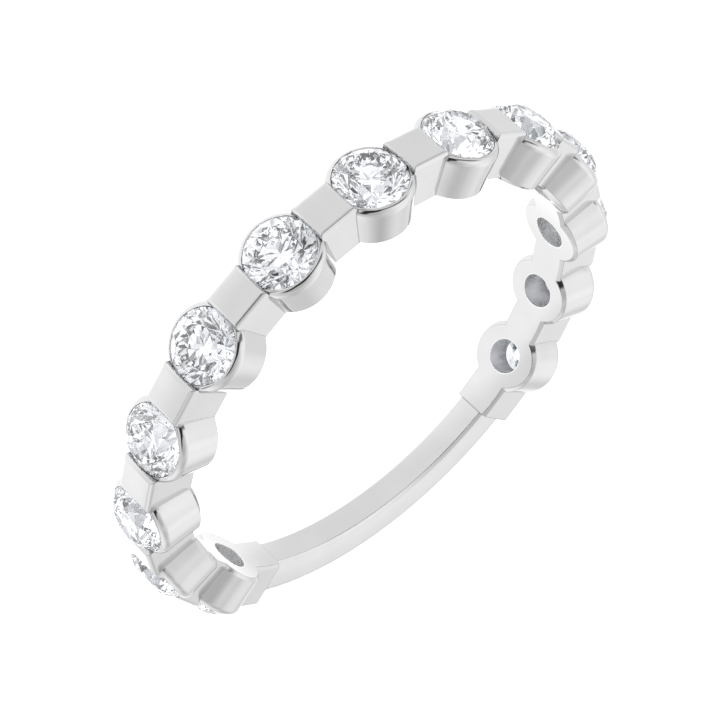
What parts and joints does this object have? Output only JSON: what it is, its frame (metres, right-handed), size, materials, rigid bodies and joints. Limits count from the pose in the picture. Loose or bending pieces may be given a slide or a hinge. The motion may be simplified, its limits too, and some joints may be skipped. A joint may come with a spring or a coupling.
{
  "type": "bar set ring",
  "caption": "Finger ring with a row of round brilliant stones set between raised cross bars, half bezels along both sides and a short plain shank.",
  "frame": {"origin": "middle of the finger hole, on its axis, half way through the ring's width", "axes": "+Z along the finger hole's axis, out of the side that the picture shows; +Y from the hole towards the middle stone, so the plain shank is on -Y; +X completes the right-handed frame"},
  "size_m": [0.0216, 0.0211, 0.003],
  "materials": {
    "band": "polished white gold, rhodium bright",
    "stones": "clear colourless cut stone, polished facets"
  },
  "bodies": {
    "root": {"band": "band", "stone_1": "stones", "stone_2": "stones", "stone_3": "stones", "stone_4": "stones", "stone_5": "stones", "stone_6": "stones", "stone_7": "stones", "stone_8": "stones", "stone_9": "stones", "stone_10": "stones", "stone_11": "stones", "stone_12": "stones", "stone_13": "stones"}
  },
  "joints": []
}
